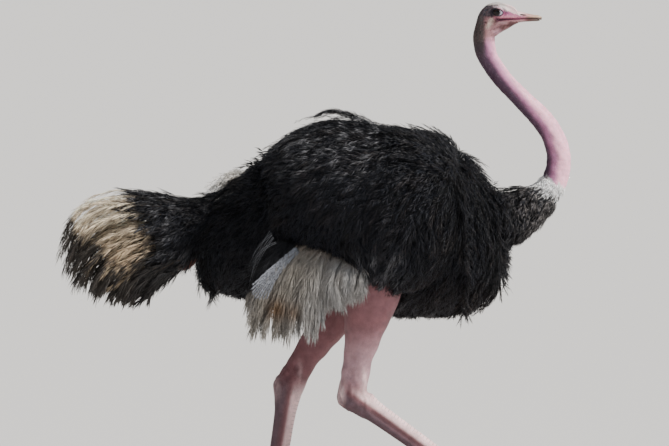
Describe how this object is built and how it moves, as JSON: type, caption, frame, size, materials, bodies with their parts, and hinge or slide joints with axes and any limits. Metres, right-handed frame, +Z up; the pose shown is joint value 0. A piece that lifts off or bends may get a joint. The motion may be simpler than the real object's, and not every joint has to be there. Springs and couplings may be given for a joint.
{
  "type": "common ostrich",
  "caption": "Life-size male ostrich in mid stride, pink neck and legs, black body, pale wing and tail plumes, one foot on a flat display base.",
  "frame": {"origin": "centre of the display base's underside, on the floor", "axes": "+X the way the bird faces and walks, +Y its left side, +Z up"},
  "size_m": [1.7453, 0.6804, 1.886],
  "materials": {
    "black_plumage": "loose black plumes with a soft sheen",
    "white_plumage": "soft off-white plumes",
    "tawny_plumage": "faded tawny plumes with dark tips",
    "neck_skin": "bare pink skin with thin down",
    "head_down": "skin under short bristly down",
    "bill_horn": "satin horn",
    "eye": "wet dark brown eye",
    "leg_skin": "bare pink skin and horny scutes",
    "claw_horn": "dark horn",
    "base_board": "painted board, matt"
  },
  "bodies": {
    "root": {"trunk": "black_plumage", "neck_upper": "neck_skin", "neck_middle": "neck_skin", "neck_lower": "neck_skin", "neck_collar": "white_plumage", "neck_root": "black_plumage", "head": "head_down", "bill_upper": "bill_horn", "bill_lower": "bill_horn", "tail_coverts": "black_plumage", "tail_plumes": "tawny_plumage", "stand_base": "base_board", "eye_left": "eye", "drumstick_left": "leg_skin", "shank_left": "leg_skin", "toe_main_left": "leg_skin", "toe_side_left": "leg_skin", "claw_main_left": "claw_horn", "claw_side_left": "claw_horn", "wing_left": "black_plumage", "wing_quills_left": "white_plumage", "eye_right": "eye", "drumstick_right": "leg_skin", "shank_right": "leg_skin", "toe_main_right": "leg_skin", "toe_side_right": "leg_skin", "claw_main_right": "claw_horn", "claw_side_right": "claw_horn", "wing_right": "black_plumage", "wing_quills_right": "white_plumage"}
  },
  "joints": []
}
